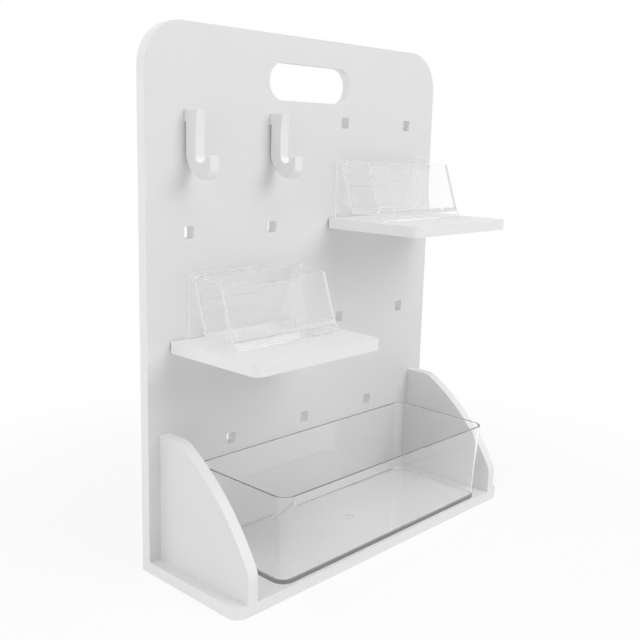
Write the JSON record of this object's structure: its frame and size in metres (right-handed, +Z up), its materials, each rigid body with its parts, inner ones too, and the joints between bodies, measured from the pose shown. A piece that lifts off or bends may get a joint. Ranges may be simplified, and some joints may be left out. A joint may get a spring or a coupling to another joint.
{
  "type": "pegboard desk organizer",
  "caption": "Free-standing pegboard desk organizer with plug-in shelves and hooks, clear card holders on the shelves and a clear drawer tray between side cheeks.",
  "frame": {"origin": "on the table under the centre of the footprint", "axes": "+X to the right of a person who faces the front, +Y from the front edge to the back panel, +Z up"},
  "size_m": [0.3, 0.099, 0.3705],
  "materials": {
    "sheet_white": "satin white sheet",
    "clear_plastic": "clear polished",
    "screw_steel": "zinc plated",
    "pad_rubber": "matt"
  },
  "bodies": {
    "organizer": {"pegboard": "sheet_white", "base_board": "sheet_white", "screws_base_to_board": "screw_steel", "cheek_left": "sheet_white", "screws_base_to_cheek_left": "screw_steel", "screws_board_to_cheek_left": "screw_steel", "cheek_right": "sheet_white", "screws_base_to_cheek_right": "screw_steel", "screws_board_to_cheek_right": "screw_steel", "foot_pad_front_left": "pad_rubber", "foot_pad_front_right": "pad_rubber", "foot_pad_rear_left": "pad_rubber", "foot_pad_rear_right": "pad_rubber"},
    "shelf_lower": {"shelf_lower": "sheet_white"},
    "shelf_upper": {"shelf_upper": "sheet_white"},
    "hook_left": {"hook_left": "sheet_white"},
    "hook_right": {"hook_right": "sheet_white"},
    "card_holder_lower": {"card_holder_lower": "clear_plastic"},
    "card_holder_upper": {"card_holder_upper": "clear_plastic"},
    "drawer_tray": {"drawer_tray": "clear_plastic"}
  },
  "joints": [
    {"name": "drawer_tray_slide", "type": "slide", "parent": "organizer", "child": "drawer_tray", "axis": [0, -1, 0], "range_m": [0, 0.1]},
    {"name": "shelf_lower_pull", "type": "slide", "parent": "organizer", "child": "shelf_lower", "axis": [0, -1, 0], "range_m": [0, 0.03]},
    {"name": "shelf_upper_pull", "type": "slide", "parent": "organizer", "child": "shelf_upper", "axis": [0, -1, 0], "range_m": [0, 0.03]},
    {"name": "hook_left_pull", "type": "slide", "parent": "organizer", "child": "hook_left", "axis": [0, -1, 0], "range_m": [0, 0.03]},
    {"name": "hook_right_pull", "type": "slide", "parent": "organizer", "child": "hook_right", "axis": [0, -1, 0], "range_m": [0, 0.03]},
    {"name": "card_holder_lower_lift", "type": "slide", "parent": "shelf_lower", "child": "card_holder_lower", "axis": [0, 0, 1], "range_m": [0, 0.05]},
    {"name": "card_holder_upper_lift", "type": "slide", "parent": "shelf_upper", "child": "card_holder_upper", "axis": [0, 0, 1], "range_m": [0, 0.05]}
  ]
}
